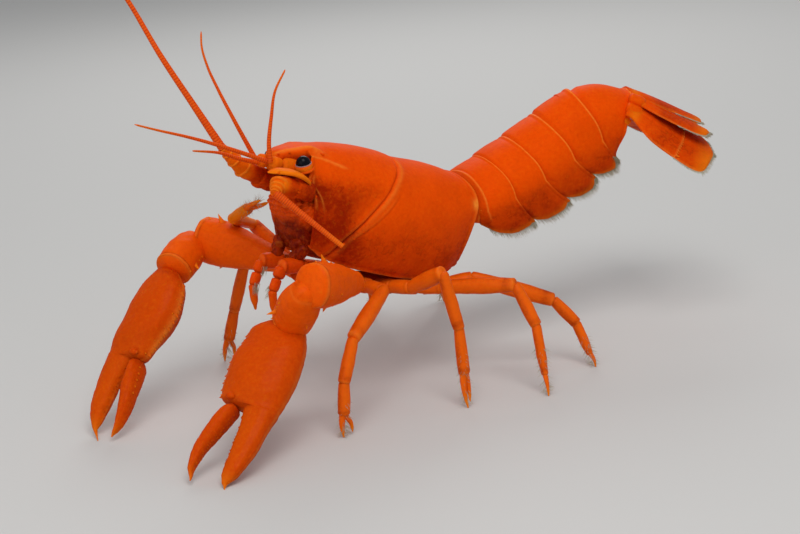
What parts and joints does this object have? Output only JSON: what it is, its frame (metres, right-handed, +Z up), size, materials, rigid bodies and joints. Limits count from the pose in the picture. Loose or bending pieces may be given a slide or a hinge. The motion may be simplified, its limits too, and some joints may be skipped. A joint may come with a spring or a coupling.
{
  "type": "freshwater crayfish model",
  "caption": "Life-size still model of an apricot-orange freshwater crayfish standing on its claw tips and legs with its tail raised.",
  "frame": {"origin": "bottom centre of the box around the whole animal, on the floor it stands on", "axes": "+Z up; the animal faces -X; its left side faces -Y"},
  "size_m": [0.1262, 0.0644, 0.0986],
  "materials": {
    "shell_orange": "satin chitin shell, stands in for hard organic shell",
    "claw_orange": "satin chitin shell",
    "leg_orange": "thin satin shell",
    "feeler_orange": "thin ringed shell",
    "eye_black": "wet glossy cornea"
  },
  "bodies": {
    "root": {"abdomen_1": "shell_orange", "abdomen_2": "shell_orange", "abdomen_3": "shell_orange", "abdomen_4": "shell_orange", "abdomen_5": "shell_orange", "abdomen_6": "shell_orange", "antenna_flagellum_left": "feeler_orange", "antenna_flagellum_right": "feeler_orange", "antenna_peduncle_left": "shell_orange", "antenna_peduncle_right": "shell_orange", "antenna_scale_left": "feeler_orange", "antenna_scale_right": "feeler_orange", "antennule_inner_flagellum_left": "feeler_orange", "antennule_inner_flagellum_right": "feeler_orange", "antennule_outer_flagellum_left": "feeler_orange", "antennule_outer_flagellum_right": "feeler_orange", "antennule_peduncle_left": "shell_orange", "antennule_peduncle_right": "shell_orange", "carapace": "shell_orange", "cheliped_arm_left": "claw_orange", "cheliped_arm_right": "claw_orange", "cheliped_carpus_left": "claw_orange", "cheliped_carpus_right": "claw_orange", "claw_finger_left": "claw_orange", "claw_finger_right": "claw_orange", "claw_palm_left": "claw_orange", "claw_palm_right": "claw_orange", "eye_left": "eye_black", "eye_right": "eye_black", "eyestalk_left": "shell_orange", "eyestalk_right": "shell_orange", "leg_2_lower_left": "leg_orange", "leg_2_lower_right": "leg_orange", "leg_2_upper_left": "leg_orange", "leg_2_upper_right": "leg_orange", "leg_3_lower_left": "leg_orange", "leg_3_lower_right": "leg_orange", "leg_3_upper_left": "leg_orange", "leg_3_upper_right": "leg_orange", "leg_4_lower_left": "leg_orange", "leg_4_lower_right": "leg_orange", "leg_4_upper_left": "leg_orange", "leg_4_upper_right": "leg_orange", "leg_5_lower_left": "leg_orange", "leg_5_lower_right": "leg_orange", "leg_5_upper_left": "leg_orange", "leg_5_upper_right": "leg_orange", "maxilliped_left": "leg_orange", "maxilliped_right": "leg_orange", "mouthparts": "shell_orange", "sternum": "shell_orange", "tail_endopod_left": "shell_orange", "tail_endopod_right": "shell_orange", "tail_exopod_left": "shell_orange", "tail_exopod_right": "shell_orange", "telson": "shell_orange"}
  },
  "joints": []
}
